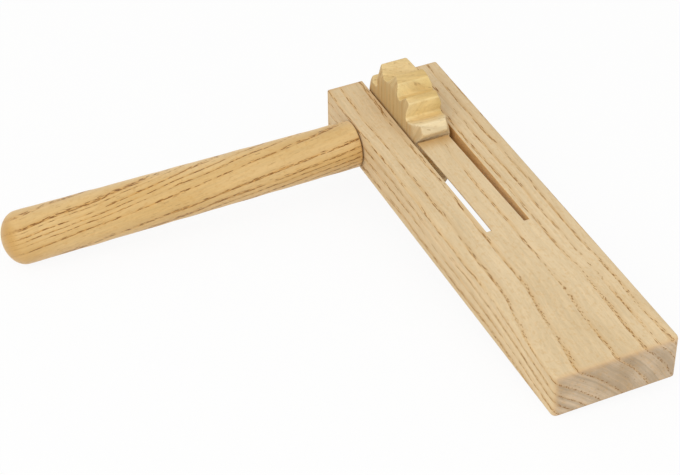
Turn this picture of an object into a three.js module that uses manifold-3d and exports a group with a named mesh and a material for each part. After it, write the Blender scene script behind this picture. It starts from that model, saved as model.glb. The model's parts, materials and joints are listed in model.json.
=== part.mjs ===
// A wooden ratchet noisemaker: a forked ash block, a toothed wheel on a spindle between the
// cheeks of the fork, a springy tongue that the teeth flick, and a turned handle to swing it by.
// Millimetres. X runs across the block with the handle on the -X side, Y runs from the solid
// front end to the wheel, and Z is up. The origin is the centre of the solid part's underside.

import * as THREE from 'three';
import { mergeVertices } from 'three/addons/utils/BufferGeometryUtils.js';
import Module from 'manifold-3d';

// Block
const BLOCK_LENGTH = 191;
const BLOCK_WIDTH = 50;
const BLOCK_THICKNESS = 19;
const SOLID_LENGTH = 81;
const SLOT_WIDTH = 18.4;
const CORNER_RADIUS = 2;
const EDGE_ROUND = 1.2;

// Spindle and its bearing
const AXLE_SETBACK = 26.5;
const SPINDLE_DIAMETER = 12;
const BEARING_CLEARANCE = 0.2;
const SPINDLE_CHAMFER = 0.8;
const SPINDLE_RECESS = 0.4;

// Wheel
const WHEEL_TIP_RADIUS = 26.6;
const WHEEL_SIDE_CLEARANCE = 0.7;
const TOOTH_COUNT = 12;
const TOOTH_DEPTH = 6.4;
const TOOTH_LAND = 3;
const NOTCH_FLOOR_RADIUS = 1.4;
const TOOTH_PHASE_DEGREES = 0;
const RIM_BEVEL_ACROSS = 2.6;
const RIM_BEVEL_DEEP = 4;

// Tongue, drawn as the teeth have just let it go, with its tip bent a little below the block's top
const TONGUE_WIDTH = 13.8;
const TONGUE_THICKNESS = 0.8;
const TONGUE_DROP = 0.8;
const TONGUE_TIP_CLEARANCE = 0.6;

// Handle
const GRIP_LENGTH = 148;
const GRIP_NECK_DIAMETER = 19.8;
const GRIP_END_DIAMETER = 21.6;
const GRIP_DOME_LENGTH = 8;
const GRIP_NECK_ROUND = 0.8;
const GRIP_CLEARANCE = 0.5;
const SOCKET_DEPTH = 32;

// The hairline between two pieces that are glued or grown together
const GLUE_GAP = 0.15;
const ROOT_GAP = 0.3;

const ROUND_STEPS = 96;
const FILLET_STEPS = 4;
const BEND_STEPS = 16;
const OVERCUT = 5;

const frontY = -SOLID_LENGTH / 2;
const rootY = SOLID_LENGTH / 2;
const backY = frontY + BLOCK_LENGTH;
const axleY = backY - AXLE_SETBACK;
const axleZ = BLOCK_THICKNESS / 2;
const spindleRadius = SPINDLE_DIAMETER / 2;
const cheekFace = BLOCK_WIDTH / 2;
const wheelWidth = SLOT_WIDTH - 2 * WHEEL_SIDE_CLEARANCE;

const wasm = await Module();
wasm.setup();

// A closed geometry as a solid that can be joined and cut.
function solidFrom( geometry ) {

	const bare = geometry.clone();
	bare.deleteAttribute( 'normal' );
	bare.deleteAttribute( 'uv' );
	const merged = mergeVertices( bare, 1e-4 );
	const mesh = new wasm.Mesh( {
		numProp: 3,
		vertProperties: new Float32Array( merged.attributes.position.array ),
		triVerts: new Uint32Array( merged.index.array ),
	} );
	return new wasm.Manifold( mesh );

}

// A solid back as a geometry with flat-shaded faces.
function geometryFrom( solid ) {

	const { vertProperties, triVerts } = solid.getMesh();
	const indexed = new THREE.BufferGeometry();
	indexed.setAttribute( 'position', new THREE.BufferAttribute( vertProperties, 3 ) );
	indexed.setIndex( new THREE.BufferAttribute( triVerts, 1 ) );
	const geometry = indexed.toNonIndexed();
	geometry.computeVertexNormals();
	return geometry;

}

// Cuts a list of geometries out of a first one.
function cut( geometry, tools ) {

	const body = tools.reduce( ( rest, tool ) => rest.subtract( solidFrom( tool ) ), solidFrom( geometry ) );
	return geometryFrom( body );

}

// A rectangle with rounded corners, centred on the point given.
function roundedRectangle( centreX, centreY, width, height, radius ) {

	const right = centreX + width / 2 - radius;
	const left = centreX - width / 2 + radius;
	const top = centreY + height / 2 - radius;
	const bottom = centreY - height / 2 + radius;
	const shape = new THREE.Shape();
	shape.absarc( right, bottom, radius, - Math.PI / 2, 0 );
	shape.absarc( right, top, radius, 0, Math.PI / 2 );
	shape.absarc( left, top, radius, Math.PI / 2, Math.PI );
	shape.absarc( left, bottom, radius, Math.PI, 1.5 * Math.PI );
	shape.closePath();
	return shape;

}

// A profile of [ radius, distance along the axis ] points, turned about the X axis.
function turned( profile ) {

	const points = profile.map( ( [ radius, along ] ) => new THREE.Vector2( radius, along ) );
	return new THREE.LatheGeometry( points, ROUND_STEPS ).rotateZ( - Math.PI / 2 );

}

// The board with its edges eased, slotted from the back and bored across for the spindle.
function blockGeometry() {

	const outline = roundedRectangle(
		0,
		frontY + BLOCK_LENGTH / 2,
		BLOCK_WIDTH - 2 * EDGE_ROUND,
		BLOCK_LENGTH - 2 * EDGE_ROUND,
		CORNER_RADIUS,
	);
	const board = new THREE.ExtrudeGeometry( outline, {
		depth: BLOCK_THICKNESS - 2 * EDGE_ROUND,
		bevelThickness: EDGE_ROUND,
		bevelSize: EDGE_ROUND,
		bevelSegments: FILLET_STEPS,
		curveSegments: 2 * FILLET_STEPS,
	} );
	board.translate( 0, 0, EDGE_ROUND );

	const slotLength = backY + OVERCUT - rootY;
	const slot = new THREE.BoxGeometry( SLOT_WIDTH, slotLength, BLOCK_THICKNESS + 2 * OVERCUT );
	slot.translate( 0, rootY + slotLength / 2, BLOCK_THICKNESS / 2 );

	const boreRadius = spindleRadius + BEARING_CLEARANCE;
	const bore = new THREE.CylinderGeometry( boreRadius, boreRadius, BLOCK_WIDTH + 2 * OVERCUT, ROUND_STEPS );
	bore.rotateZ( - Math.PI / 2 );
	bore.translate( 0, axleY, axleZ );

	return cut( board, [ slot, bore ] );

}

// The leaf in side view: a cantilever bent to its drop, ended just clear of the tooth tips.
function tongueGeometry() {

	const tipTop = BLOCK_THICKNESS - TONGUE_DROP;
	const nearestLevel = THREE.MathUtils.clamp( axleZ, tipTop - TONGUE_THICKNESS, tipTop );
	const clearRadius = WHEEL_TIP_RADIUS + TONGUE_TIP_CLEARANCE;
	const tipY = axleY - Math.sqrt( clearRadius ** 2 - ( nearestLevel - axleZ ) ** 2 );
	const start = rootY + ROOT_GAP;
	const length = tipY - start;

	const top = [];
	const bottom = [];
	for ( let i = 0; i <= BEND_STEPS; i ++ ) {

		const t = i / BEND_STEPS;
		const y = start + t * length;
		const z = BLOCK_THICKNESS - TONGUE_DROP * ( 3 * t ** 2 - t ** 3 ) / 2;
		bottom.push( new THREE.Vector2( y, z - TONGUE_THICKNESS ) );
		top.unshift( new THREE.Vector2( y, z ) );

	}

	const profile = new THREE.Shape( [ ...bottom, ...top ] );
	const leaf = new THREE.ExtrudeGeometry( profile, { depth: TONGUE_WIDTH, bevelEnabled: false } );
	leaf.translate( 0, 0, - TONGUE_WIDTH / 2 );
	leaf.rotateX( Math.PI / 2 );
	leaf.rotateZ( Math.PI / 2 );
	return leaf;

}

// One V-notch across the rim, with a rounded floor, at an angle from +Y towards +Z.
function notchGeometry( angle ) {

	const halfPitch = Math.PI / TOOTH_COUNT;
	const rimX = WHEEL_TIP_RADIUS * Math.cos( halfPitch );
	const rimY = WHEEL_TIP_RADIUS * Math.sin( halfPitch ) - TOOTH_LAND / 2;
	const floorX = WHEEL_TIP_RADIUS - TOOTH_DEPTH;

	// The flank is tangent to the floor arc, whose centre lies on the notch's middle line.
	const centreX = floorX + NOTCH_FLOOR_RADIUS;
	const toRim = Math.atan2( rimY, rimX - centreX );
	const reach = Math.hypot( rimX - centreX, rimY );
	const tangent = toRim + Math.acos( NOTCH_FLOOR_RADIUS / reach );
	const slope = new THREE.Vector2( Math.sin( tangent ), - Math.cos( tangent ) );
	const outerX = rimX + OVERCUT;
	const outerY = rimY + OVERCUT * slope.y / slope.x;

	const shape = new THREE.Shape();
	shape.moveTo( outerX, - outerY );
	shape.lineTo( outerX, outerY );
	shape.absarc( centreX, 0, NOTCH_FLOOR_RADIUS, tangent, 2 * Math.PI - tangent );
	shape.closePath();

	const depth = wheelWidth + 2 * OVERCUT;
	const tool = new THREE.ExtrudeGeometry( shape, { depth, bevelEnabled: false, curveSegments: FILLET_STEPS } );
	tool.translate( 0, 0, - depth / 2 );
	tool.rotateZ( angle );
	tool.rotateY( Math.PI / 2 );
	tool.rotateX( Math.PI / 2 );
	return tool;

}

// A turned disc with bevelled rims, notched all round.
function wheelGeometry() {

	const boreRadius = spindleRadius + GLUE_GAP;
	const side = wheelWidth / 2;
	const disc = turned( [
		[ boreRadius, - side ],
		[ WHEEL_TIP_RADIUS - RIM_BEVEL_DEEP, - side ],
		[ WHEEL_TIP_RADIUS, - side + RIM_BEVEL_ACROSS ],
		[ WHEEL_TIP_RADIUS, side - RIM_BEVEL_ACROSS ],
		[ WHEEL_TIP_RADIUS - RIM_BEVEL_DEEP, side ],
		[ boreRadius, side ],
		[ boreRadius, - side ],
	] );
	const pitch = 2 * Math.PI / TOOTH_COUNT;
	const first = Math.PI / 2 + THREE.MathUtils.degToRad( TOOTH_PHASE_DEGREES ) + pitch / 2;
	const notches = Array.from( { length: TOOTH_COUNT }, ( _, i ) => notchGeometry( first + i * pitch ) );
	return cut( disc, notches );

}

// The dowel from the bottom of the handle's socket to just inside the far cheek's face.
function spindleGeometry() {

	const near = - cheekFace - GRIP_CLEARANCE - SOCKET_DEPTH + GLUE_GAP;
	const far = cheekFace - SPINDLE_RECESS;
	return turned( [
		[ 0, near ],
		[ spindleRadius - SPINDLE_CHAMFER, near ],
		[ spindleRadius, near + SPINDLE_CHAMFER ],
		[ spindleRadius, far - SPINDLE_CHAMFER ],
		[ spindleRadius - SPINDLE_CHAMFER, far ],
		[ 0, far ],
	] );

}

// The grip, swelling towards its domed end, with the blind socket that takes the spindle.
function handleGeometry() {

	const face = - cheekFace - GRIP_CLEARANCE;
	const tip = - cheekFace - GRIP_LENGTH;
	const neckRadius = GRIP_NECK_DIAMETER / 2;
	const endRadius = GRIP_END_DIAMETER / 2;
	const socketRadius = spindleRadius + GLUE_GAP;

	const dome = [];
	const domeSteps = 4 * FILLET_STEPS;
	for ( let i = 0; i <= domeSteps; i ++ ) {

		const angle = i / domeSteps * Math.PI / 2;
		dome.push( [ endRadius * Math.sin( angle ), tip + GRIP_DOME_LENGTH * ( 1 - Math.cos( angle ) ) ] );

	}

	dome[ 0 ][ 0 ] = 0;
	const neck = [];
	for ( let i = 0; i <= FILLET_STEPS; i ++ ) {

		const angle = i / FILLET_STEPS * Math.PI / 2;
		neck.push( [
			neckRadius - GRIP_NECK_ROUND * ( 1 - Math.cos( angle ) ),
			face - GRIP_NECK_ROUND * ( 1 - Math.sin( angle ) ),
		] );

	}

	return turned( [
		...dome,
		...neck,
		[ socketRadius, face ],
		[ socketRadius, face - SOCKET_DEPTH ],
		[ 0, face - SOCKET_DEPTH ],
	] );

}

function wood( color, roughness ) {

	return new THREE.MeshStandardMaterial( { color, roughness, metalness: 0 } );

}

function piece( name, geometry, material ) {

	const mesh = new THREE.Mesh( geometry, material );
	mesh.name = name;
	return mesh;

}

const paleAsh = wood( 0xd9c19a, 0.7 );
const yellowAsh = wood( 0xdebc82, 0.6 );
const sawnAsh = wood( 0xe4c382, 0.8 );

const noisemaker = new THREE.Group();
noisemaker.name = 'ratchet_noisemaker';
noisemaker.add( piece( 'block', blockGeometry(), paleAsh ) );
noisemaker.add( piece( 'tongue', tongueGeometry(), paleAsh ) );

// Everything that turns with the handle
const rotor = new THREE.Group();
rotor.name = 'rotor';
rotor.position.set( 0, axleY, axleZ );
rotor.add( piece( 'handle', handleGeometry(), yellowAsh ) );
rotor.add( piece( 'spindle', spindleGeometry(), yellowAsh ) );
rotor.add( piece( 'ratchet_wheel', wheelGeometry(), sawnAsh ) );
noisemaker.add( rotor );

export default noisemaker;
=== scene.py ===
"""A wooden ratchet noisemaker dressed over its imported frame: a forked ash block, the springy tongue between its
saw kerfs, a turned handle, the spindle and a notched wheel, on a plain white stage. Lengths are metres unless a
name or comment says millimetres."""

import functools
import json
import math

import bmesh
import bpy
import numpy as np
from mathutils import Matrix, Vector


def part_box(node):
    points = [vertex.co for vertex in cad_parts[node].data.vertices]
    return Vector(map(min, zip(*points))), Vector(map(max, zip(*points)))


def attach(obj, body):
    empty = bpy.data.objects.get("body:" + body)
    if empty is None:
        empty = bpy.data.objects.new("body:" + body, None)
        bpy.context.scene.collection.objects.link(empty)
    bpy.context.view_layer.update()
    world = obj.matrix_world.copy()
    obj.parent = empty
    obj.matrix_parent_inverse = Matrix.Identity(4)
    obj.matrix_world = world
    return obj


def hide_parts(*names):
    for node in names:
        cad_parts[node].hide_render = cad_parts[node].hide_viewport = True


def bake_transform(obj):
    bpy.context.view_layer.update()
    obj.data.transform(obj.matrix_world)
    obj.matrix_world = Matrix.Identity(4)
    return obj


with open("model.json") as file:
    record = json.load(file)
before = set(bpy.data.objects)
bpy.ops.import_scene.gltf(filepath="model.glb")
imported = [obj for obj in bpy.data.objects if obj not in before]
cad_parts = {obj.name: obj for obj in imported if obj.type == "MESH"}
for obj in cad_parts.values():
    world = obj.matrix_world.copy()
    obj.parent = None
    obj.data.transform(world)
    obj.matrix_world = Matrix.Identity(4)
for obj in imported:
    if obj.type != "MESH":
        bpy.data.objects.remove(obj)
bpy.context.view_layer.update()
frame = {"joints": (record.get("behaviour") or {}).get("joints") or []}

bl_info = {
    "name": "Ratchet noisemaker",
    "version": (1, 0, 0),
    "blender": (4, 5, 0),
    "location": "3D View > Sidebar > Ratchet",
    "description": "Makes the finished wooden pieces of a ratchet noisemaker on its packed frame",
    "category": "Add Mesh",
}

MM = 0.001
GLUE_GAP = 0.15 * MM  # round the spindle, in the handle's socket and the wheel's bore
CUTTER_REACH = 14 * MM  # of the cutter above the floor of a notch

# Where a mix node keeps the two colours, vectors or numbers that it mixes, and the mixed one.
COLOUR_A, COLOUR_B, COLOUR_OUT = 6, 7, 2
VECTOR_A, VECTOR_B, VECTOR_OUT = 4, 5, 1
FLOAT_A, FLOAT_B = 2, 3

BLOCK_LOW, BLOCK_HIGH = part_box("block")
TONGUE_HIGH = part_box("tongue")[1]
HANDLE_LOW, HANDLE_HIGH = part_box("handle")
SPINDLE_LOW, SPINDLE_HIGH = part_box("spindle")
WHEEL_LOW, WHEEL_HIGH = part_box("ratchet_wheel")
AXLE = Vector(next(j["pos_m"] for j in frame["joints"] if j["name"] == "handle_spin"))

# The notches as they were sawn by eye: degrees from the top of the wheel towards the tongue, from the front edge
# of one tooth to the back edge of the next, and the depth in millimetres.
NOTCHES = (
    (-27.2, -3.0, 3.8),
    (8.2, 24.8, 5.0),
    (31.7, 51.5, 6.6),
    (61.3, 84.0, 4.2),
    (93.5, 115.0, 6.0),
    (124.0, 146.0, 6.5),
    (154.5, 175.5, 6.1),
    (184.5, 206.5, 6.6),
    (215.5, 235.5, 6.0),
    (244.0, 266.0, 6.4),
    (274.5, 294.5, 6.2),
    (303.0, 327.0, 6.4),
)

# The rim as it was left round the wheel, by degrees from the top: how far it stands proud of the turned disc, and
# where its edges lie on the handle's side and on the far side of the wheel's middle, in millimetres.
RIM = (
    (-180, 0.0, -5.7, 5.9), (-80, 0.0, -5.9, 5.7), (-66, -0.5, -6.1, 5.5), (-56, -0.5, -6.1, 5.5),
    (-44, 0.6, -5.9, 5.4), (-36, 1.7, -5.8, 5.5), (-22, 1.7, -5.8, 5.6), (-12, 0.4, -5.2, 5.7), (-3, 0.0, -5.3, 6.5),
    (9, 0.0, -7.3, 6.5), (24, 0.0, -7.2, 6.2), (33, 0.1, -7.0, 6.2), (50, 0.1, -5.3, 5.8), (64, 0.2, -5.3, 5.8),
    (80, 0.0, -5.7, 6.1), (180, 0.0, -5.7, 5.9),
)

# Distances of the board's growth rings from the heart of the tree, in millimetres.
BOARD_RINGS = (
    50, 53.5, 57, 60.2, 63.4, 66.6, 70, 73.6, 77.5, 84, 93.5, 101.8, 105.8, 109.6, 113.5, 118, 123, 128,
)

# The same for the handle, whose narrow rings lie between two wide pale ones.
HANDLE_RINGS = (
    4, 7, 9.6, 12, 14.2, 16.2, 18.2, 20.1, 22.1, 24.2, 26.2, 29.6, 36, 38.7, 40.3, 42, 43.9, 45, 49.4, 55, 58, 62,
)


def linear(code):
    """An sRGB hex colour as linear red, green and blue."""
    parts = [int(code[i:i + 2], 16) / 255 for i in (1, 3, 5)]
    return tuple(p / 12.92 if p <= 0.04045 else ((p + 0.055) / 1.055) ** 2.4 for p in parts)


def length(name, description, millimetres):
    """A length that the sidebar shows in the scene's units."""
    return bpy.props.FloatProperty(
        name=name, description=description, default=millimetres * MM, min=0.0, unit="LENGTH", precision=5
    )


def colour(name, description, code):
    """A colour that the sidebar shows as a swatch."""
    return bpy.props.FloatVectorProperty(
        name=name, description=description, default=linear(code), size=3, min=0.0, max=1.0, subtype="COLOR"
    )


class RatchetSizes(bpy.types.PropertyGroup):
    """The sizes of the finished pieces that the frame leaves open"""

    solid_length: length("Solid length", "Length of the block's unslotted front part", 81.0)
    slot_width: length("Slot width", "Width of the slot between the cheeks", 18.4)
    front_corner: length("Front corners", "Radius sanded on the upright front edges", 2.6)
    front_edge: length("Front edges", "Radius sanded on the level edges of the front end", 1.9)
    long_edge: length("Long edges", "Radius sanded on the block's other edges", 1.1)
    slot_edge: length("Slot edges", "Radius on the sawn edges of the slot", 0.35)
    bore_radius: length("Bearing bore", "Radius of the bores that the spindle turns in", 6.2)
    leaf_thickness: length("Tongue thickness", "Thickness of the tongue's leaf", 0.8)
    leaf_lift: length("Tongue lift", "How far the tooth holds the tongue's tip above the block's top", 0.65)
    leaf_reach: length("Tongue reach", "How far the tongue's tip reaches into the notch in front of it", 2.8)
    leaf_lean: length("Tongue lean", "How far the tongue's tip leans towards the handle's side", 1.2)
    leaf_taper: length("Tongue taper", "How far the tongue's other edge draws in towards its tip", 1.5)
    leaf_edge: length("Tongue edges", "Radius on the tongue's sawn edges", 0.2)
    leaf_fillet: length("Tongue root", "Radius under the tongue where it leaves the block", 1.6)
    neck_radius: length("Neck radius", "Radius of the handle beside the block", 9.7)
    neck_round: length("Neck round", "Radius on the handle's inner rim", 0.9)
    dome_length: length("Dome length", "Length of the handle's domed end", 8.0)
    socket_depth: length("Socket depth", "Depth of the handle's socket for the spindle", 32.0)
    spindle_chamfer: length("Spindle chamfer", "Chamfer on the spindle's ends", 0.8)
    far_gap: length("Far side gap", "How much narrower the wheel is on its far side", 1.0)
    bevel_width: length("Rim bevel width", "Width of the turned rim bevels across the wheel", 2.6)
    bevel_deep: length("Rim bevel depth", "Depth of the rim bevels towards the axle", 4.0)
    notch_floor: length("Notch floor", "Width of a notch at its rounded floor", 2.4)
    tooth_edge: length("Tooth edges", "How far wear has rounded the edges of the teeth", 0.8)


class RatchetColours(bpy.types.PropertyGroup):
    """The colours of the bare ash in each piece, the painted shade on sawn faces and on the tongue's tip, and the
    floor
    """

    board_pale: colour("Board, pale", "Pale wood of the block and tongue", "#e3caa0")
    board_deep: colour("Board, deep", "Deeper wood of the block and tongue", "#d9bf94")
    board_band: colour("Board, ring bands", "Early wood along the growth rings", "#cd9f5c")
    board_pore: colour("Board, pores", "Open pores of the block and tongue", "#7a4c1a")
    board_end: colour("Board, end grain", "Sanded end grain of the block", "#cfb99c")
    board_end_deep: colour("Board, deep end grain", "Thirsty patches of end grain", "#b9a182")
    # The slot's walls are sawn, and their warmer brown is painted shade between the cheeks.
    board_sawn_shade: colour("Board, sawn", "Walls of the slot, left from the saw", "#eab56c")
    # The tongue's tip is painted browner as shade, where it runs in under the wheel's tooth.
    leaf_tip_shade: colour("Tongue stain", "Tip of the tongue, rubbed brown by the wheel", "#bc8e48")
    board_worn: colour("Board, worn edges", "Warm tone rubbed along the edges", "#cfa878")
    handle_pale: colour("Handle, pale", "Pale wood of the handle", "#e2c086")
    handle_deep: colour("Handle, deep", "Deeper wood of the handle", "#d6b070")
    handle_end: colour("Handle, end grain", "Wood of the handle's domed end", "#d6aa62")
    handle_end_deep: colour("Handle, deep end grain", "Deeper patches of the domed end", "#c5964c")
    handle_band: colour("Handle, ring bands", "Early wood of the handle", "#c48b38")
    handle_pore: colour("Handle, pores", "Open pores of the handle", "#6b3c04")
    wheel_pale: colour("Wheel, pale", "Pale wood of the wheel", "#efd79b")
    wheel_deep: colour("Wheel, deep", "Deeper wood of the wheel", "#e6c985")
    wheel_end: colour("Wheel, end grain", "Yellower wood where the rim cuts the fibres", "#e0c080")
    wheel_end_deep: colour("Wheel, deep end grain", "Deeper patches of that wood", "#d4b36f")
    # The wheel's sides are sawn, and their darker brown is painted shade where they stand between the cheeks.
    wheel_sawn_shade: colour("Wheel, sawn", "Sides of the wheel, left from the saw", "#b29262")
    wheel_band: colour("Wheel, ring bands", "Early wood of the wheel", "#c69b5c")
    wheel_pore: colour("Wheel, pores", "Open pores of the wheel", "#8f6f45")
    wheel_sap: colour("Wheel, sapwood", "Paler outer wood of the wheel", "#edd9ae")
    floor: colour("Floor", "The plain floor under the object", "#f4f3f0")


def add(tree, kind, links=(), output=0, **settings):
    """Adds one node and gives back one of its outputs. kind is its type without its family, and its operation if it
    has one. links fill its inputs, in order or by name, with values or with outputs of other nodes. settings are its
    own values."""
    kind, *operation = kind.split()
    family = next(f for f in ("ShaderNode", "GeometryNode", "Node") if hasattr(bpy.types, f + kind))
    made = tree.nodes.new(family + kind)
    if operation:
        made.operation = operation[0]
    for key, value in settings.items():
        setattr(made, key, value)
    for key, value in links.items() if isinstance(links, dict) else enumerate(links):
        for one in value if isinstance(value, list) else [value]:
            if isinstance(one, bpy.types.NodeSocket):
                tree.links.new(one, made.inputs[key])
            else:
                made.inputs[key].default_value = one
    return made.outputs[output] if made.outputs else None


def fresh_nodes(owner):
    """Clears the nodes of a material or world and gives back the helper that adds to them."""
    owner.use_nodes = True
    owner.node_tree.nodes.clear()
    return functools.partial(add, owner.node_tree)


def follow(curve_output, points):
    """Lays a curve node through the points given, with straight runs between them."""
    mapping = curve_output.node.mapping
    curve = mapping.curves[0]
    while len(curve.points) > 2:
        curve.points.remove(curve.points[1])
    for found, place in zip(curve.points, (points[0], points[-1])):
        found.location = place
    for x, y in points[1:-1]:
        curve.points.new(x, y)
    for point in curve.points:
        point.handle_type = "VECTOR"
    mapping.update()


def as_mesh(name, shape):
    """The mesh of a shape that is finished."""
    mesh = bpy.data.meshes.new(name)
    shape.to_mesh(mesh)
    shape.free()
    return mesh


def new_piece(name, mesh):
    """An object for a finished piece, at the origin with its place in its mesh."""
    piece = bpy.data.objects.new(name, mesh)
    bpy.context.scene.collection.objects.link(piece)
    return piece


def worked_in(piece):
    """Turns a piece and its modifiers into one plain mesh."""
    graph = bpy.context.evaluated_depsgraph_get()
    mesh = bpy.data.meshes.new_from_object(
        piece.evaluated_get(graph), preserve_all_data_layers=True, depsgraph=graph
    )
    piece.modifiers.clear()
    rough, piece.data = piece.data, mesh
    mesh.name = piece.name
    bpy.data.meshes.remove(rough)


def smooth_over(piece, degrees=40.0):
    """Shades the rounded edges smoothly and keeps the flats flat."""
    piece.data.shade_smooth()
    piece.data.set_sharp_from_angle(angle=math.radians(degrees))
    weigh = piece.modifiers.new("Flats first", "WEIGHTED_NORMAL")
    weigh.mode, weigh.weight, weigh.keep_sharp = "FACE_AREA", 100, True
    worked_in(piece)


def mark_end_grain(mesh, grain):
    """Keeps how squarely each corner of the surface cuts the fibres, for the material."""
    normals = np.zeros(len(mesh.loops) * 3, np.float32)
    mesh.corner_normals.foreach_get("vector", normals)
    across = np.abs(normals.reshape(-1, 3) @ np.array(grain, np.float32))
    mesh.attributes.new("end_grain", "FLOAT", "CORNER").data.foreach_set("value", across)


def mark_sawn_shade(mesh, reach):
    """Marks the faces square to X within a distance of the middle, which the saw left rough. The material paints shade
    on them: a darker brown on the wheel's sides and a warmer brown on the walls of the block's slot.
    """
    least, rise = 0.5, 0.4
    square = [min(1.0, max(0.0, abs(f.normal.x) - least) / rise) for f in mesh.polygons]
    sawn = [s * (abs(f.center.x) < reach) for s, f in zip(square, mesh.polygons)]
    mesh.attributes.new("sawn", "FLOAT", "FACE").data.foreach_set("value", sawn)


def on_lathe(profile, rounds):
    """A closed profile of (place along X, radius) points, turned about the spindle's axis."""
    shape = bmesh.new()
    rings = []
    for x, radius in profile:
        if radius == 0:
            rings.append([shape.verts.new((x, AXLE.y, AXLE.z))])
            continue
        turns = [2 * math.pi * i / rounds for i in range(rounds)]
        rings.append(
            [shape.verts.new((x, AXLE.y - radius * math.sin(t), AXLE.z + radius * math.cos(t))) for t in turns]
        )
    closed = len(rings[0]) > 1
    for a, b in zip(rings, rings[1:] + rings[:1] if closed else rings[1:]):
        for i in range(rounds):
            j = (i + 1) % rounds
            corners = [a[i % len(a)], a[j % len(a)], b[j % len(b)], b[i % len(b)]]
            corners = [v for k, v in enumerate(corners) if v not in corners[:k]]
            if len(corners) > 2:
                shape.faces.new(corners)
    bmesh.ops.recalc_face_normals(shape, faces=shape.faces)
    return as_mesh("turned", shape)


def ring_radii(first, last, narrow, wide, seed):
    """Growth rings between two distances from the heart, their widths drawn between two limits."""
    radii, draw = [first], np.random.default_rng(seed)
    while radii[-1] < last:
        radii.append(radii[-1] + draw.uniform(narrow, wide))
    return radii


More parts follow.
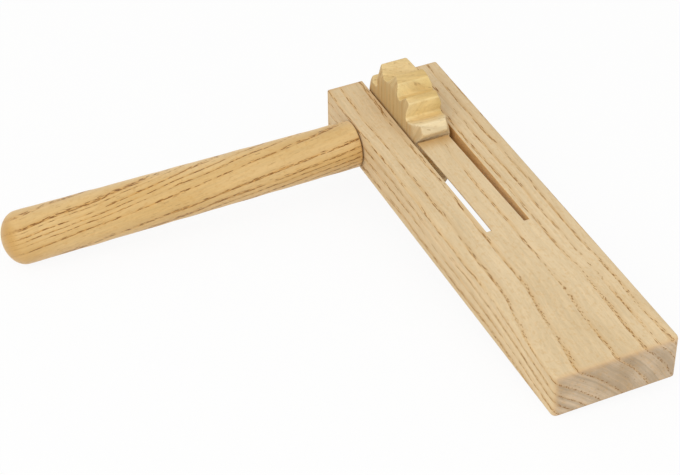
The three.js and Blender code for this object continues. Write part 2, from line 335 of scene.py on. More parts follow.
def ash(
    name, tints, turn, heart, rings, pore, band, open_pores=0.95, end_pores=1.0, end_pore=None, tinge=0.6, layers=0.04,
    end_layers=0.0, lean=None, sap=None, rest=False, eased=False, darker_end=None, sheen=0.0, roughness=0.6,
):
    """Bare ash, a ring-porous wood: pale, with rows of big open pores at the start of each growth ring, which show as
    broken brown lines along the grain and as dotted arcs on the end grain, a tan tinge about them, fine fibre streaks
    between and a soft sanded sheen.

    tints are pale, deep, tan, pore, end grain, deep end grain, worn wood or sapwood, and a brown for sawn faces, which
    carries painted shade, and for a darker end. turn lays the fibres along the pattern's Y. heart is the middle of the
    rings, and rings and all other lengths are in millimetres of the turned pattern. pore is the spacing of the pores
    across the rings, along the fibres and round the rings, and the share kept in a row and between rows; end_pore is
    the spacing across and round on end grain. band is the depth of a row. open_pores is how dark pores are, end_pores
    how much of that is left on end grain, tinge the strength of the tan, layers and end_layers that of the tones
    within a ring. lean is where along the fibres the heart starts and stops to lean, how far, and how it eases. sap is
    shares of sapwood by distance from the heart. rest keeps the pattern on a piece that bends, and eased warms the
    edges of the front end. The darker end is given as a direction, the places in metres along it where the darker tone
    starts and is full, and its strength; on the tongue's tip that darker tone is painted shade."""
    pale, deep, tan, dark, end_pale, end_deep, rubbed, rough = [(*t, 1.0) for t in tints]
    material = bpy.data.materials.new(name)
    node = fresh_nodes(material)

    if rest:
        place = node("Attribute", attribute_name="rest_place", output="Vector")
    else:
        place = node("TexCoord", output="Object")
    to_mm = (1 / MM, 1 / MM, 1 / MM)
    board = node("Mapping", {"Vector": place, "Scale": to_mm, "Rotation": turn, "Location": -Vector(heart)})

    # The heart leans along the fibres, which fans the rings and runs them out over an edge.
    if lean:
        start, stop, offset, easing = lean
        along = node("SeparateXYZ", [board], output="Y")
        share = node("MapRange", [along, start, stop], interpolation_type=easing)
        board = node("VectorMath MULTIPLY_ADD", [share, offset, board])

    # Rings wander by about a millimetre over a few centimetres.
    slow = node("VectorMath MULTIPLY", [board, (1 / 26, 1 / 55, 1 / 26)])
    sway = node("TexNoise", {"Vector": slow, "Scale": 1.0, "Detail": 2.0, "Roughness": 0.6}, output="Color")
    sway = node("VectorMath SUBTRACT", [sway, (0.5, 0.5, 0.5)])
    grown = node("VectorMath MULTIPLY_ADD", [sway, (3.0, 0.0, 3.0), board])
    flat = node("VectorMath MULTIPLY", [grown, (1, 0, 1)])
    radius = node("VectorMath LENGTH", [flat], output="Value")

    # Fibres and pores lie in the rings, so their pattern is laid out from the heart, along the tree and round it.
    part = node("SeparateXYZ", [grown]).node.outputs
    angle = node("Math ARCTAN2", [part["X"], part["Z"]])
    round_tree = node("Math MULTIPLY", [angle, (rings[0] + rings[-1]) / 2])
    fibre = node("CombineXYZ", [radius, part["Y"], round_tree])

    # How far the surface is end grain, where a few small late pores show too.
    slant = node("Attribute", attribute_name="end_grain", output="Fac")
    cut = node("MapRange", [slant, 0.5, 0.92], interpolation_type="SMOOTHSTEP")

    # Growth since the last ring began, in depths of its row of pores, which is shallower in a narrow ring. A curve
    # ends at 1, so it holds a share of the tallest growth.
    span = node("MapRange", [radius, rings[0], rings[-1]])
    whole, teeth, tallest, drop = rings[-1] - rings[0], [(0.0, 0.0)], 20.0, 0.001
    for a, b in zip(rings, rings[1:]):
        at, row = (b - rings[0]) / whole, min(band, 0.4 * (b - a))
        teeth += [(at - drop, (b - a) / row / tallest), (at, 0.0)]
    since = node("FloatCurve", {"Value": span})
    follow(since, teeth)
    finer = node("Math MULTIPLY_ADD", [cut, 5.0, tallest])
    since = node("Math MULTIPLY", [since, finer])
    early, halo = (
        node("MapRange", [since, full, none, 1.0, 0.0], interpolation_type="SMOOTHSTEP")
        for full, none in ((0.35, 1.0), (0.2, 1.7))
    )

    # Some stretches of a ring have many pores and some few.
    crowd = node("VectorMath MULTIPLY", [fibre, (1 / 2.5, 1 / 30, 1 / 10)])
    crowd = node("TexNoise", {"Vector": crowd, "Scale": 1.0, "Detail": 1.0})
    crowd = node("MapRange", [crowd, 0.35, 0.52, 0.42, 1.0])

    # Pores: cells drawn out along the fibres, kept where the early wood lies, and packed otherwise on end grain.
    across, long, about, in_row, between = pore
    end_across, end_about = end_pore or (across, about)
    at_end = node("Math GREATER_THAN", [cut, 0.5])
    packing = node(
        "Mix",
        {0: at_end, VECTOR_A: (1 / across, 1 / long, 1 / about), VECTOR_B: (1 / end_across, 1 / long, 1 / end_about)},
        VECTOR_OUT, data_type="VECTOR",
    )
    cells = node("VectorMath MULTIPLY", [fibre, packing])
    cell = node(
        "TexVoronoi", {"Vector": cells, "Scale": 1.0, "Randomness": 0.95, "Exponent": 5.0}, distance="MINKOWSKI"
    ).node.outputs
    whole_row = node("Math MAXIMUM", [crowd, cut])
    chance = node("Math MULTIPLY", [early, whole_row])
    chance = node("Math MULTIPLY_ADD", [chance, in_row, between])
    late = 0.04
    chance = node("Math MULTIPLY_ADD", [cut, late, chance])
    draw = node("SeparateColor", [cell["Color"]]).node.outputs
    kept = node("Math SUBTRACT", [chance, draw["Red"]])
    kept = node("MapRange", [kept, 0.0, 0.12, 0.0, open_pores])
    opened = node("MapRange", [slant, 0.05, 0.6, 1.0, end_pores])
    kept = node("Math MULTIPLY", [kept, opened])
    hole, glow = (
        node("MapRange", [cell["Distance"], full, none, 1.0, 0.0], interpolation_type="SMOOTHSTEP")
        for full, none in ((0.37, 0.48), (0.45, 0.85))
    )
    hole, glow = (node("Math MULTIPLY", [one, kept]) for one in (hole, glow))

    # Fibre streaks half a millimetre across, short flecks, layers of tone within the rings and slow changes of tone.
    streak, fleck, tone = (
        node("TexNoise", {
            "Vector": node("VectorMath MULTIPLY", [where, scale]),
            "Scale": 1.0, "Detail": detail, "Roughness": fine,
        })
        for where, scale, detail, fine in (
            (fibre, (2.0, 1 / 9, 0.5), 3.0, 0.65),
            (fibre, (0.9, 1 / 2.2, 0.4), 3.0, 0.75),
            (grown, (1 / 12, 1 / 60, 1 / 12), 2.0, 0.5),
        )
    )
    fleck = node("MapRange", [fleck, 0.5, 0.72, 0.0, 0.4])
    tone = node("MapRange", [tone, 0.3, 0.7])
    drift = node("Math MULTIPLY", [part["Y"], 1 / 60])
    layer = node("CombineXYZ", [radius, drift])
    layer = node("TexNoise", {"Vector": layer, "Scale": 0.8, "Detail": 3.0, "Roughness": 0.6})

    # What lies over the plain wood, in turn: how much of it, its colour and how the two mix.
    coats = []
    if sap:
        table = node("FloatCurve", {"Value": span})
        follow(table, [((r - rings[0]) / whole, share) for r, share in sap])
        coats.append((table, rubbed, "MIX"))
    # Faces that the saw left rough take painted shade: a darker brown on the wheel's sides, a warmer brown on the
    # walls of the block's slot.
    sawn = node("Attribute", attribute_name="sawn", output="Fac")
    sawn = node("Math MULTIPLY", [sawn, 0.75])
    coats.append((sawn, rough, "MIX"))

    # The tan lies about the rows and the pores, stronger on sawn wood as part of its painted shade and weaker on end
    # grain, and in the flecks.
    warm = node("Math MULTIPLY", [halo, crowd])
    strength = node("Math MULTIPLY_ADD", [sawn, 0.4, tinge])
    warm = node("Math MULTIPLY", [warm, strength])
    warm = node("Math MULTIPLY_ADD", [glow, 0.5, warm])
    plain = node("Math MULTIPLY_ADD", [cut, -0.4, 1.0])
    warm = node("Math MULTIPLY", [warm, plain])
    warm = node("Math MAXIMUM", [warm, fleck])
    coats.append((warm, tan, "MIX"))

    shade = node("MapRange", [streak, 0.3, 0.7, 0.93, 1.05])
    sheet = node("MapRange", [layer, 0.35, 0.65, -1.0, 1.0])
    strength = node("Math MULTIPLY_ADD", [cut, end_layers, layers])
    sheet = node("Math MULTIPLY_ADD", [sheet, strength, 1.0])
    shade = node("Math MULTIPLY", [shade, sheet])
    coats.append((1.0, shade, "MULTIPLY"))
    if eased:
        # Sandpaper warms the board round its front end: the nearer that end and another face, the warmer.
        middle, half = (BLOCK_LOW + BLOCK_HIGH) / 2, (BLOCK_HIGH - BLOCK_LOW) / 2
        inside = node("VectorMath SUBTRACT", [place, middle])
        inside = node("VectorMath ABSOLUTE", [inside])
        inside = node("VectorMath SUBTRACT", [half, inside])
        side = node("SeparateXYZ", [inside]).node.outputs
        least = node("Math MINIMUM", [side["X"], side["Z"]])
        edge = node("Math MAXIMUM", [least, side["Y"]])
        edge = node("MapRange", [edge, 0.2 * MM, 2.4 * MM, 0.5, 0.0], interpolation_type="SMOOTHSTEP")
        coats.append((edge, rubbed, "MIX"))
    if darker_end:
        # One end is darker and browner: on the tongue this is painted shade where its tip runs under the wheel's
        # tooth, and on the handle it darkens the domed end and its underside.
        way, fresh, brown, most = darker_end
        along = node("VectorMath DOT_PRODUCT", [place, way], output="Value")
        darkening = node("MapRange", [along, fresh, brown, 0.0, most], interpolation_type="SMOOTHSTEP")
        coats.append((darkening, rough, "MIX"))
    depth = node("MapRange", [draw["Green"], 0.0, 1.0, 0.6, 1.0])
    depth = node("Math MULTIPLY", [hole, depth])
    coats.append((depth, dark, "MIX"))

    # End grain drinks more, so it is greyer and darker there.
    face, end = (
        node("Mix", {0: tone, COLOUR_A: a, COLOUR_B: b}, COLOUR_OUT, data_type="RGBA")
        for a, b in ((pale, deep), (end_pale, end_deep))
    )
    wood = face
    for share, tint, blend in [(cut, end, "MIX")] + coats:
        wood = node("Mix", {0: share, COLOUR_A: wood, COLOUR_B: tint}, COLOUR_OUT, data_type="RGBA", blend_type=blend)

    dull = node("MapRange", [hole, 0.0, 1.0, roughness, min(1.0, roughness + 0.25)])
    relief = node("Math MULTIPLY_ADD", [streak, 0.25, 0.5])
    relief = node("Math SUBTRACT", [relief, hole])
    bump = node("Bump", {"Strength": 0.35, "Distance": 0.15 * MM, "Height": relief})
    surface = node("BsdfPrincipled", {
        "Base Color": wood, "Roughness": dull, "IOR": 1.5, "Specular IOR Level": 0.4, "Normal": bump,
        "Sheen Weight": sheen, "Sheen Roughness": 0.5, "Sheen Tint": (1.0, 0.86, 0.62, 1.0),
    })
    node("OutputMaterial", {"Surface": surface})
    return material


def board_material(name, colours, brown, rest=False, darker_end=None):
    """Planed and sanded ash: block and tongue are one board, so one pattern runs through both."""
    return ash(
        name,
        (colours.board_pale, colours.board_deep, colours.board_band, colours.board_pore, colours.board_end,
         colours.board_end_deep, colours.board_worn, brown),
        turn=(0, 0, 0),
        heart=(-63.4, 0, -51.7),
        rings=BOARD_RINGS,
        pore=(0.24, 3.4, 0.4, 0.56, 0.015),
        band=1.4,
        tinge=0.42,
        end_layers=0.11,
        end_pore=(0.38, 0.7),
        lean=(-50, 25, (11.7, 0, -15.7), "SMOOTHSTEP"),
        rest=rest,
        eased=True,
        darker_end=darker_end,
        roughness=0.62,
    )


def settle(piece, material, node):
    """Gives a piece its material and hides the part of the frame that it stands for."""
    piece.data.materials.clear()
    piece.data.materials.append(material)
    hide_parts(node)


class RATCHET_OT_block(bpy.types.Operator):
    """Make the forked block from one board, with its slot, bores and sanded edges"""

    bl_idname = "ratchet.block"
    bl_label = "Block"

    def execute(self, context):
        sizes, colours = context.scene.ratchet_sizes, context.scene.ratchet_colours
        root, half_slot = BLOCK_LOW.y + sizes.solid_length, sizes.slot_width / 2
        plan = (
            (BLOCK_LOW.x, BLOCK_LOW.y), (BLOCK_HIGH.x, BLOCK_LOW.y), (BLOCK_HIGH.x, BLOCK_HIGH.y),
            (half_slot, BLOCK_HIGH.y), (half_slot, root), (-half_slot, root), (-half_slot, BLOCK_HIGH.y),
            (BLOCK_LOW.x, BLOCK_HIGH.y),
        )
        shape = bmesh.new()
        under = shape.faces.new([shape.verts.new((x, y, BLOCK_LOW.z)) for x, y in plan])
        raised = bmesh.ops.extrude_face_region(shape, geom=[under])["geom"]
        tops = [v for v in raised if isinstance(v, bmesh.types.BMVert)]
        bmesh.ops.translate(shape, verts=tops, vec=(0, 0, BLOCK_HIGH.z - BLOCK_LOW.z))
        bmesh.ops.recalc_face_normals(shape, faces=shape.faces)

        # Each edge is sanded by its own amount, and the slot's end stays sharp where the tongue leaves it.
        share = shape.edges.layers.float.new("bevel_weight_edge")
        for edge in shape.edges:
            a, b = (v.co for v in edge.verts)
            middle, upright = (a + b) / 2, abs(a.z - b.z) > MM
            if abs(middle.x) < half_slot + MM and middle.y > root - MM:
                sharp = abs(middle.y - root) < MM or upright and abs(middle.y - BLOCK_HIGH.y) > MM
                amount = 0.0 if sharp else sizes.slot_edge
            elif abs(middle.y - BLOCK_LOW.y) < MM:
                amount = sizes.front_corner if upright else sizes.front_edge
            elif abs(middle.y - BLOCK_HIGH.y) < MM and middle.x < 0:
                amount = sizes.slot_edge
            else:
                amount = sizes.long_edge
            edge[share] = amount / sizes.front_corner
        piece = new_piece("forked_block", as_mesh("block", shape))
        ease = piece.modifiers.new("Sanded edges", "BEVEL")
        ease.limit_method, ease.width, ease.segments = "WEIGHT", sizes.front_corner, 6
        ease.use_clamp_overlap = False
        worked_in(piece)

        # The bores, with a light countersink at each face of each cheek.
        bore, flare = sizes.bore_radius, 0.4 * MM
        for inner, outer in ((-half_slot, BLOCK_LOW.x), (half_slot, BLOCK_HIGH.x)):
            out = math.copysign(flare, outer)
            drill = new_piece("drill", on_lathe(
                (
                    (inner - 5 * out, 0.0), (inner - 5 * out, bore + flare), (inner, bore + flare),
                    (inner + out, bore), (outer - out, bore), (outer, bore + flare),
                    (outer + 5 * out, bore + flare), (outer + 5 * out, 0.0),
                ),
                rounds=96,
            ))
            cut = piece.modifiers.new("Bore", "BOOLEAN")
            cut.operation, cut.solver, cut.object = "DIFFERENCE", "EXACT", drill
            worked_in(piece)
            bpy.data.objects.remove(drill)
        smooth_over(piece)
        mark_end_grain(piece.data, (0, 1, 0))
        # The slot's sawn walls are marked for their painted warm shade.
        mark_sawn_shade(piece.data, half_slot + MM)
        material = board_material("Ash board, planed and sanded", colours, colours.board_sawn_shade)
        settle(piece, material, "block")
        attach(piece, "block")
        return {"FINISHED"}


class RATCHET_OT_tongue(bpy.types.Operator):
    """Make the springy tongue, its tip held up by a tooth of the wheel"""

    bl_idname = "ratchet.tongue"
    bl_label = "Tongue"

    def execute(self, context):
        sizes, colours = context.scene.ratchet_sizes, context.scene.ratchet_colours
        root, top = BLOCK_LOW.y + sizes.solid_length, BLOCK_HIGH.z
        tip = TONGUE_HIGH.y + sizes.leaf_reach
        half, edge, thick, fillet = TONGUE_HIGH.x, sizes.leaf_edge, sizes.leaf_thickness, sizes.leaf_fillet

        # Places along the leaf: close together at its root and round its tip. At each it has a rounded section.
        near_steps, leaf_steps, tip_steps, corner_steps = 6, 60, 3, 3
        near = [fillet * k / near_steps for k in range(near_steps + 1)]
        far = [fillet + (tip - root - fillet - edge) * k / leaf_steps for k in range(1, leaf_steps + 1)]
        turns = [k * math.pi / (2 * tip_steps) for k in range(1, tip_steps + 1)]
        close = [tip - root - edge * (1 - math.sin(turn)) for turn in turns]
        shape, sections = bmesh.new(), []
        for along in near + far + close:
            t = min(1.0, along / (tip - root))
            level = top + sizes.leaf_lift * (3 * t ** 2 - t ** 3) / 2
            deep = thick
            if along < fillet:
                deep += fillet - math.sqrt(fillet ** 2 - (fillet - along) ** 2)
            beyond = max(0.0, along - (tip - root - edge))
            bend = math.sqrt(max(0.0, edge ** 2 - beyond ** 2))
            left, right = edge - half - t ** 2 * sizes.leaf_lean, half - t * sizes.leaf_taper - edge
            upper, lower = level - edge, level - deep + edge
            section = []
            for quarter, (x, z) in enumerate(((right, upper), (left, upper), (left, lower), (right, lower))):
                for step in range(corner_steps + 1):
                    angle = (quarter + step / corner_steps) * math.pi / 2
                    place = (x + bend * math.cos(angle), root + along, z + bend * math.sin(angle))
                    section.append(shape.verts.new(place))
            sections.append(section)
        for a, b in zip(sections, sections[1:]):
            for i in range(len(a)):
                j = (i + 1) % len(a)
                shape.faces.new((a[i], a[j], b[j], b[i]))
        shape.faces.new(sections[0])
        shape.faces.new(sections[-1])
        bmesh.ops.recalc_face_normals(shape, faces=shape.faces)
        piece = new_piece("springy_tongue", as_mesh("tongue", shape))
        smooth_over(piece, degrees=50.0)
        mark_end_grain(piece.data, (0, 1, 0))
        places = np.zeros(len(piece.data.vertices) * 3, np.float32)
        piece.data.vertices.foreach_get("co", places)
        piece.data.attributes.new("rest_place", "FLOAT_VECTOR", "POINT").data.foreach_set("vector", places)
        # The last part of the tip is painted browner as shade under the wheel's tooth.
        stain_length = 8 * MM
        darker_end = ((0, 1, 0), tip - stain_length, tip, 0.7)
        material = board_material(
            "Ash leaf, sawn and sanded", colours, colours.leaf_tip_shade, rest=True, darker_end=darker_end
        )
        settle(piece, material, "tongue")
        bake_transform(piece)
        return {"FINISHED"}


class RATCHET_OT_handle(bpy.types.Operator):
    """Turn the handle, a little fatter towards its domed end"""

    bl_idname = "ratchet.handle"
    bl_label = "Handle"

    def execute(self, context):
        sizes, colours = context.scene.ratchet_sizes, context.scene.ratchet_colours
        tip, face = HANDLE_LOW.x, HANDLE_HIGH.x
        sanded_off, ripple_height = 0.2 * MM, 0.04 * MM
        end_radius = (HANDLE_HIGH.z - HANDLE_LOW.z) / 2 - sanded_off
        socket = (SPINDLE_HIGH.z - SPINDLE_LOW.z) / 2 + GLUE_GAP
        dome_steps, grip_steps, neck_steps = 24, 60, 6
        profile = [(tip, 0.0)]
        for k in range(1, dome_steps + 1):
            angle = k / dome_steps * math.pi / 2
            profile.append((tip + sizes.dome_length * (1 - math.cos(angle)), end_radius * math.sin(angle)))
        start, stop = tip + sizes.dome_length, face - sizes.neck_round
        for k in range(1, grip_steps):
            t = k / grip_steps
            ripple = ripple_height * (math.sin(41 * t) + math.sin(67 * t + 1.0))
            profile.append((start + t * (stop - start), end_radius + t * (sizes.neck_radius - end_radius) + ripple))
        for k in range(neck_steps + 1):
            angle = k / neck_steps * math.pi / 2
            profile.append((
                stop + sizes.neck_round * math.sin(angle),
                sizes.neck_radius - sizes.neck_round * (1 - math.cos(angle)),
            ))
        profile += [(face, socket), (face - sizes.socket_depth, socket), (face - sizes.socket_depth, 0.0)]
        piece = new_piece("turned_handle", on_lathe(profile, rounds=128))
        smooth_over(piece)
        mark_end_grain(piece.data, (1, 0, 0))
        material = ash(
            "Ash grip, turned and sanded",
            (colours.handle_pale, colours.handle_deep, colours.handle_band, colours.handle_pore, colours.handle_end,
             colours.handle_end_deep, colours.handle_deep, colours.handle_end_deep),
            turn=(0, 0, math.radians(90)),
            heart=(-95.6, 0, -22.8),
            rings=HANDLE_RINGS,
            pore=(0.25, 2.6, 0.5, 0.95, 0.055),
            band=1.3,
            open_pores=1.0,
            end_pores=0.3,
            darker_end=((-0.8, 0, -0.6), 116 * MM, 138 * MM, 0.75),
            sheen=0.4,
            tinge=0.3,
            lean=(-173, -25, (10.8, 0, -12.2), "LINEAR"),
            roughness=0.45,
        )
        settle(piece, material, "handle")
        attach(piece, "rotor")
        return {"FINISHED"}


class RATCHET_OT_spindle(bpy.types.Operator):
    """Turn the spindle that carries the wheel through both cheeks"""

    bl_idname = "ratchet.spindle"
    bl_label = "Spindle"

    def execute(self, context):
        sizes, colours = context.scene.ratchet_sizes, context.scene.ratchet_colours
        radius, near, far = (SPINDLE_HIGH.z - SPINDLE_LOW.z) / 2, SPINDLE_LOW.x, SPINDLE_HIGH.x
        chamfer, soft = sizes.spindle_chamfer, 0.15 * MM
        profile = [
            (near, 0.0), (near, radius - chamfer), (near + chamfer, radius),
            (far - chamfer - soft, radius), (far - chamfer + soft, radius - soft),
            (far - soft, radius - chamfer + soft), (far, radius - chamfer - soft), (far, 0.0),
        ]
        piece = new_piece("spindle_dowel", on_lathe(profile, rounds=96))
        smooth_over(piece)
        mark_end_grain(piece.data, (1, 0, 0))
        material = ash(
            "Ash dowel, end grain showing",
            (colours.handle_pale, colours.handle_deep, colours.handle_band, colours.handle_pore, colours.board_end,
             colours.board_end_deep, colours.handle_deep, colours.handle_deep),
            turn=(0, 0, math.radians(90)),
            heart=(-108, 0, -4),
            rings=ring_radii(first=6, last=42, narrow=2.0, wide=3.2, seed=9),
            pore=(0.34, 3.0, 1.13, 0.9, 0.02),
            band=1.0,
        )
        settle(piece, material, "spindle")
        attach(piece, "rotor")
        return {"FINISHED"}


def wheel_tree():
    """Geometry nodes for the wheel: a turned disc with bevelled rims, bored and then notched at each mark."""
    tree = bpy.data.node_groups.new("Notched wheel", "GeometryNodeTree")
    node = functools.partial(add, tree)
    lengths = ("Width", "Tip Radius", "Bore Radius", "Bevel Width", "Bevel Depth", "Notch Floor", "Reach")
    for name, way, kind in (
        ("Geometry", "INPUT", "Geometry"), *((name, "INPUT", "Float") for name in lengths),
        ("Axle", "INPUT", "Vector"), ("Material", "INPUT", "Material"), ("Geometry", "OUTPUT", "Geometry"),
    ):
        tree.interface.new_socket(name, in_out=way, socket_type="NodeSocket" + kind)
    given = node("GroupInput").node.outputs
    rounds, bore_rounds, weld = 288, 96, 0.002 * MM

    # The disc stands on Z while it is turned: rim, two bevels and two faces, welded into one closed skin.
    half = node("Math MULTIPLY", [given["Width"], 0.5])
    inner = node("Math SUBTRACT", [given["Tip Radius"], given["Bevel Depth"]])
    low = node("Math SUBTRACT", [given["Bevel Width"], half])
    high = node("Math SUBTRACT", [half, given["Bevel Width"]])
    under = node("Math MULTIPLY", [half, -1.0])
    rim = node("Math SUBTRACT", [high, low])
    skins = []
    for bottom, top, tall, at in (
        (inner, given["Tip Radius"], given["Bevel Width"], under),
        (given["Tip Radius"], given["Tip Radius"], rim, low),
        (given["Tip Radius"], inner, given["Bevel Width"], high),
    ):
        wall = node(
            "MeshCone", {"Vertices": rounds, "Radius Bottom": bottom, "Radius Top": top, "Depth": tall},
            fill_type="NONE", output="Mesh",
        )
        lift = node("CombineXYZ", {2: at})
        skins.append(node("Transform", {"Geometry": wall, "Translation": lift}))
    for at, tip in ((under, math.pi), (half, 0.0)):
        cap = node("MeshCircle", {"Vertices": rounds, "Radius": inner}, fill_type="NGON", output="Mesh")
        lift = node("CombineXYZ", {2: at})
        skins.append(node("Transform", {"Geometry": cap, "Translation": lift, "Rotation": (tip, 0, 0)}))
    disc = node("JoinGeometry", [skins])
    disc = node("MergeByDistance", {"Geometry": disc, "Distance": weld})

    # The turner's rim: how high it stands and where its two edges run, all round. The curves hold millimetres as
    # shares of a range that runs as far below zero as above it.
    disc = node("Transform", {"Geometry": disc, "Rotation": (0, math.pi / 2, 0)})
    spot = node("InputPosition")
    part = node("SeparateXYZ", [spot]).node.outputs
    front = node("Math MULTIPLY", [part["Y"], -1.0])
    bearing = node("Math ARCTAN2", [front, part["Z"]])
    around = node("MapRange", [bearing, -math.pi, math.pi])
    read, reading = [], 20.0
    for column in (1, 2, 3):
        table = node("FloatCurve", {"Value": around})
        follow(table, [((row[0] + 180) / 360, 0.5 + row[column] / reading) for row in RIM])
        level = node("Math SUBTRACT", [table, 0.5])
        read.append(node("Math MULTIPLY", [level, reading * MM]))
    proud, near_edge, far_edge = read
    spoke = node("VectorMath MULTIPLY", [spot, (0, 1, 1)])
    reach = node("VectorMath LENGTH", [spoke], output="Value")
    limit = node("Math SUBTRACT", [given["Tip Radius"], 0.1 * MM])
    rims = node("Math GREATER_THAN", [reach, limit])
    tall = node("Math ADD", [reach, proud])
    outward = node("VectorMath NORMALIZE", [spoke])
    outward = node("VectorMath SCALE", {0: outward, "Scale": tall})
    beyond = node("Math GREATER_THAN", [part["X"], 0.0])
    edge = node("Mix", {0: beyond, FLOAT_A: near_edge, FLOAT_B: far_edge}, data_type="FLOAT")
    edge = node("CombineXYZ", [edge])
    moved = node("VectorMath ADD", [outward, edge])
    disc = node("SetPosition", {"Geometry": disc, "Selection": rims, "Position": moved})
    disc = node("Transform", {"Geometry": disc, "Translation": given["Axle"]})

    # One saw cut: a V with a rounded floor, whose mouth each mark scales, laid across the rim.
    mouth = node("Math MULTIPLY", [given["Reach"], 2.0])
    vee = node(
        "CurvePrimitiveQuadrilateral",
        {"Height": given["Reach"], "Bottom Width": given["Notch Floor"], "Top Width": mouth, "Offset": 0.0},
        mode="TRAPEZOID", output="Curve",
    )
    soft = node("Math MULTIPLY", [given["Notch Floor"], 0.5])
    vee = node("FilletCurve", {"Curve": vee, "Radius": soft, "Count": 6, "Limit Radius": True}, mode="POLY")
    lift = node("Math MULTIPLY", [given["Reach"], 0.5])
    lift = node("CombineXYZ", {1: lift})
    vee = node("Transform", {"Geometry": vee, "Translation": lift})
    stop = node("CombineXYZ", {2: given["Width"]})
    start = node("VectorMath SCALE", {0: stop, "Scale": -1.0})
    path = node("CurvePrimitiveLine", {"Start": start, "End": stop})
    saw = node("CurveToMesh", {"Curve": path, "Profile Curve": vee, "Fill Caps": True})
    saw = node("Transform", {"Geometry": saw, "Rotation": (math.pi / 2, 0, math.pi / 2)})
    turn = node("InputNamedAttribute", {"Name": "turn"}, data_type="FLOAT")
    wide = node("InputNamedAttribute", {"Name": "wide"}, data_type="FLOAT")
    turn = node("CombineXYZ", [turn])
    size = node("CombineXYZ", [1.0, wide, 1.0])
    cuts = node("InstanceOnPoints", {"Points": given["Geometry"], "Instance": saw, "Rotation": turn, "Scale": size})
    cuts = node("RealizeInstances", {"Geometry": cuts})

    deep = node("Math MULTIPLY", [given["Width"], 2.0])
    drill = node(
        "MeshCylinder", {"Vertices": bore_rounds, "Radius": given["Bore Radius"], "Depth": deep},
        fill_type="NGON", output="Mesh",
    )
    drill = node("Transform", {"Geometry": drill, "Rotation": (0, math.pi / 2, 0), "Translation": given["Axle"]})
    wheel = node("MeshBoolean DIFFERENCE", {"Mesh 1": disc, "Mesh 2": [cuts, drill]}, solver="EXACT", output="Mesh")
    wheel = node("RealizeInstances", {"Geometry": wheel})
    wheel = node("SetMaterial", {"Geometry": wheel, "Material": given["Material"]})
    node("GroupOutput", [wheel])
    return tree


class RATCHET_OT_wheel(bpy.types.Operator):
    """Notch the ratchet wheel out of a turned disc"""

    bl_idname = "ratchet.wheel"
    bl_label = "Ratchet wheel"

    def execute(self, context):
        sizes, colours = context.scene.ratchet_sizes, context.scene.ratchet_colours
        tip_radius = (WHEEL_HIGH.z - WHEEL_LOW.z) / 2
        rings = ring_radii(first=20, last=92, narrow=2.4, wide=4.2, seed=3)
        material = ash(
            "Ash wheel, sawn across the rim",
            (colours.wheel_pale, colours.wheel_deep, colours.wheel_band, colours.wheel_pore, colours.wheel_end,
             colours.wheel_end_deep, colours.wheel_sap, colours.wheel_sawn_shade),
            turn=(math.radians(-90), 0, 0),
            heart=(14, 0, -179),
            rings=rings,
            pore=(0.4, 4.0, 1.33, 0.6, 0.02),
            band=1.2,
            open_pores=0.42,
            tinge=0.2,
            layers=0.06,
            sap=(
                (rings[0], 0.33), (47, 0.33), (54, 0.0), (69, 0.0), (76, 1.0), (79.5, 1.0), (82, 0.2),
                (rings[-1], 0.2),
            ),
            roughness=0.66,
        )

        # One mark for each notch, at its floor, with its turn and how wide its mouth is.
        marks = bpy.data.meshes.new("notch marks")
        places, turns, widths = [], [], []
        for front, back, deep in NOTCHES:
            middle = math.radians((front + back) / 2)
            floor = tip_radius - deep * MM
            places.append(AXLE + Vector((0, -math.sin(middle), math.cos(middle))) * floor)
            mouth = tip_radius * math.sin(math.radians((back - front) / 2))
            rise = tip_radius * math.cos(math.radians((back - front) / 2)) - floor
            half_floor = sizes.notch_floor / 2
            usual = half_floor + rise * (CUTTER_REACH - half_floor) / CUTTER_REACH
            turns.append(middle)
            widths.append(mouth / usual)
        marks.from_pydata(places, [], [])
        marks.attributes.new("turn", "FLOAT", "POINT").data.foreach_set("value", turns)
        marks.attributes.new("wide", "FLOAT", "POINT").data.foreach_set("value", widths)
        piece = new_piece("notched_wheel", marks)
        tree = wheel_tree()
        maker = piece.modifiers.new("Notched wheel", "NODES")
        maker.node_group = tree
        values = {
            "Width": WHEEL_HIGH.x - WHEEL_LOW.x - sizes.far_gap, "Tip Radius": tip_radius,
            "Bore Radius": (SPINDLE_HIGH.z - SPINDLE_LOW.z) / 2 + GLUE_GAP,
            "Bevel Width": sizes.bevel_width, "Bevel Depth": sizes.bevel_deep, "Notch Floor": sizes.notch_floor,
            "Reach": CUTTER_REACH, "Axle": AXLE - Vector((sizes.far_gap / 2, 0, 0)), "Material": material,
        }
        for item in tree.interface.items_tree:
            if item.in_out == "INPUT" and item.name in values:
                maker[item.identifier] = values[item.name]
        worked_in(piece)
        if len(piece.data.polygons) < 100:
            raise RuntimeError("the wheel's notches were not cut")

        # Use has worn every edge, so the wheel is cast again in small cells and rubbed smooth.
        cells = piece.modifiers.new("Small cells", "REMESH")
        cells.mode, cells.voxel_size = "VOXEL", sizes.tooth_edge / 2
        rub = piece.modifiers.new("Rubbed smooth", "SMOOTH")
        rub.factor, rub.iterations = 0.5, 9
        worked_in(piece)
        piece.data.shade_smooth()
        mark_end_grain(piece.data, (0, 0, 1))
        # The wheel's sawn sides and bevels are marked for their painted darker shade.
        mark_sawn_shade(piece.data, WHEEL_HIGH.x + MM)
        settle(piece, material, "ratchet_wheel")
        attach(piece, "rotor")
        return {"FINISHED"}


def shows_white(node):
    """Whether a ray comes from the camera, straight or off a gloss or through glass, and so meets plain white."""
    ray = node("LightPath").node.outputs
    seen = node("Math ADD", [ray["Is Camera Ray"], ray["Is Glossy Ray"]])
    return node("Math ADD", [seen, ray["Is Transmission Ray"]], use_clamp=True)


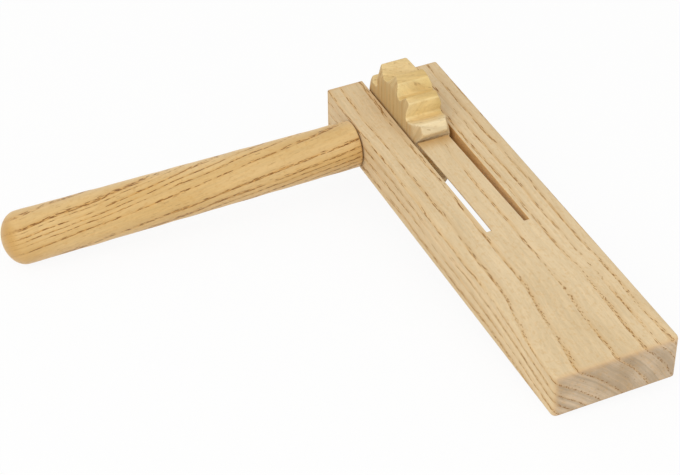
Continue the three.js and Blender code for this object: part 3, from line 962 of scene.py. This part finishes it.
class RATCHET_OT_stage(bpy.types.Operator):
    """Set up the camera, the soft light and the plain floor"""

    bl_idname = "ratchet.stage"
    bl_label = "Stage"

    def execute(self, context):
        scene, colours = context.scene, context.scene.ratchet_colours

        # The camera as it was fitted to the block's edges in the photograph.
        eye = bpy.data.cameras.new("photo_view")
        eye.sensor_width, eye.lens, eye.clip_start, eye.clip_end = 36.0, 103.2, 0.01, 50.0
        camera = bpy.data.objects.new("photo_view", eye)
        camera.location = (-0.28944, -0.45317, 0.48059)
        camera.rotation_euler = [math.radians(d) for d in (50.6555, 0.645, -24.5634)]
        scene.collection.objects.link(camera)
        scene.camera = camera
        scene.view_settings.view_transform = "Standard"

        # The noisemaker lies on the wheel, the end of the handle and the block's near front corner.
        wheel = Vector((0, AXLE.y, WHEEL_LOW.z))
        grip = Vector((HANDLE_LOW.x + context.scene.ratchet_sizes.dome_length, AXLE.y, HANDLE_LOW.z))
        corner = Vector((BLOCK_LOW.x + MM, BLOCK_LOW.y + MM, BLOCK_LOW.z))
        up = (grip - wheel).cross(corner - wheel).normalized()
        up = up if up.z > 0 else -up
        sink, floor_radius = 0.3 * MM, 1.4
        middle = (wheel + grip + corner) / 3 - up * sink
        shape = bmesh.new()
        bmesh.ops.create_circle(shape, cap_ends=True, segments=96, radius=floor_radius)
        bmesh.ops.transform(shape, matrix=up.to_track_quat("Z", "Y").to_matrix().to_4x4(), verts=shape.verts)
        bmesh.ops.translate(shape, verts=shape.verts, vec=middle)
        floor = new_piece("floor", as_mesh("floor", shape))
        paper = bpy.data.materials.new("Matt white paper")
        node = fresh_nodes(paper)
        matt = node("BsdfDiffuse", {"Color": (*colours.floor, 1.0)})
        white = node("Emission", {"Color": (1, 1, 1, 1), "Strength": 1.0})
        share = node("Math MULTIPLY", [shows_white(node), 0.92])
        top = node("MixShader", [share, matt, white])
        clear = node("BsdfTransparent")
        below = node("NewGeometry", output="Backfacing")
        both = node("MixShader", [below, top, clear])
        node("OutputMaterial", {"Surface": both})
        floor.data.materials.append(paper)

        world = scene.world or bpy.data.worlds.new("white_room")
        scene.world = world
        node = fresh_nodes(world)
        room = node("Background", {"Color": (1, 1, 1, 1), "Strength": 0.76})
        seen = node("Background", {"Color": (1, 1, 1, 1), "Strength": 1.0})
        both = node("MixShader", [shows_white(node), room, seen])
        node("OutputWorld", {"Surface": both})

        aim = Vector((0, 0.05, 0))
        for name, place, size, power in (
            ("key_softbox", (-0.75, -0.25, 0.85), 0.8, 3.6),
            ("fill_softbox", (0.4, -0.9, 0.7), 0.7, 1.4),
        ):
            lamp = bpy.data.lights.new(name, "AREA")
            lamp.shape, lamp.size, lamp.energy = "DISK", size, power
            box = bpy.data.objects.new(name, lamp)
            box.location = place
            box.rotation_euler = (aim - Vector(place)).to_track_quat("-Z", "Y").to_euler()
            scene.collection.objects.link(box)
        return {"FINISHED"}


class RATCHET_PT_sidebar(bpy.types.Panel):
    """The noisemaker's sizes, colours and pieces"""

    bl_idname = "RATCHET_PT_sidebar"
    bl_label = "Ratchet noisemaker"
    bl_space_type = "VIEW_3D"
    bl_region_type = "UI"
    bl_category = "Ratchet"

    def draw(self, context):
        for operator in OPERATORS:
            self.layout.operator(operator.bl_idname)
        for group in (context.scene.ratchet_sizes, context.scene.ratchet_colours):
            column = self.layout.column(align=True)
            for key in group.bl_rna.properties.keys():
                if key not in {"rna_type", "name"}:
                    column.prop(group, key)


OPERATORS = (
    RATCHET_OT_stage, RATCHET_OT_block, RATCHET_OT_tongue, RATCHET_OT_handle, RATCHET_OT_spindle, RATCHET_OT_wheel,
)
CLASSES = (RatchetSizes, RatchetColours, *OPERATORS, RATCHET_PT_sidebar)


def register():
    for made in CLASSES:
        bpy.utils.register_class(made)
    bpy.types.Scene.ratchet_sizes = bpy.props.PointerProperty(type=RatchetSizes)
    bpy.types.Scene.ratchet_colours = bpy.props.PointerProperty(type=RatchetColours)


def unregister():
    del bpy.types.Scene.ratchet_colours
    del bpy.types.Scene.ratchet_sizes
    for made in reversed(CLASSES):
        bpy.utils.unregister_class(made)


def main():
    register()
    bpy.ops.ratchet.stage()
    bpy.ops.ratchet.block()
    bpy.ops.ratchet.tongue()
    bpy.ops.ratchet.handle()
    bpy.ops.ratchet.spindle()
    bpy.ops.ratchet.wheel()


if __name__ == "__main__":
    main()
